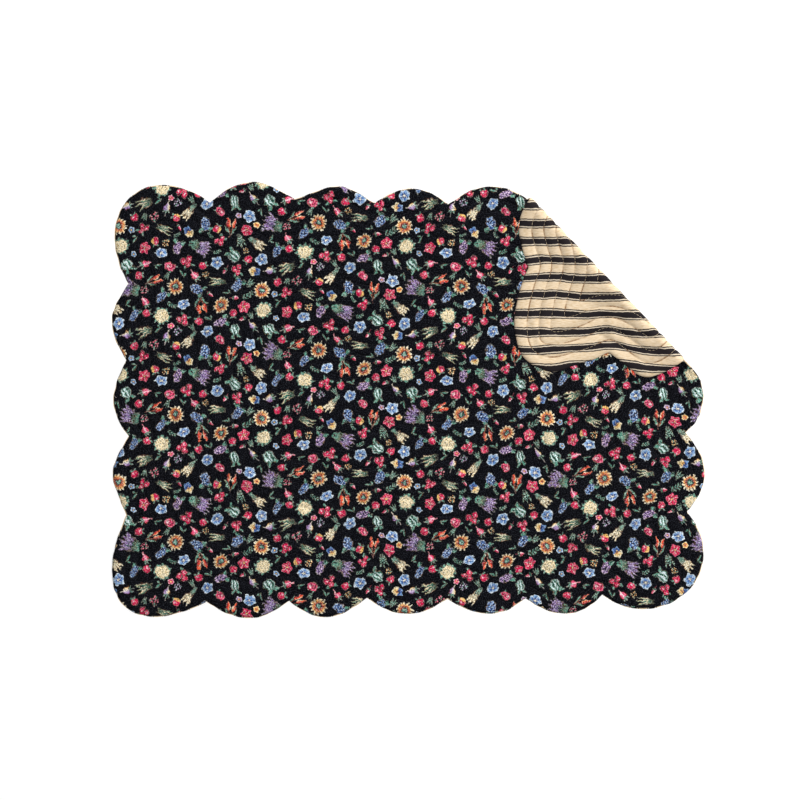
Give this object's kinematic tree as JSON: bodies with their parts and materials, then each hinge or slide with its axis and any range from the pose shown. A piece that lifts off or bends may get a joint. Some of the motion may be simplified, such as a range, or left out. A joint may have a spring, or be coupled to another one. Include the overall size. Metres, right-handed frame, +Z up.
{
  "type": "placemat",
  "caption": "Quilted cotton placemat with a scalloped edge, one corner folded over to show its striped back.",
  "frame": {"origin": "on the surface the mat lies on, under the middle of its box", "axes": "+X along the mat's long side, to the right of the picture; +Y along its short side, away from the viewer; +Z up"},
  "size_m": [0.4824, 0.3548, 0.0115],
  "materials": {
    "printed_cotton": "matte woven cotton, near-black with a small multi-coloured flower print",
    "striped_cotton": "matte woven cotton, tan with black ticking stripes"
  },
  "bodies": {
    "root": {"front_cloth": "printed_cotton", "back_cloth": "striped_cotton"}
  },
  "joints": []
}
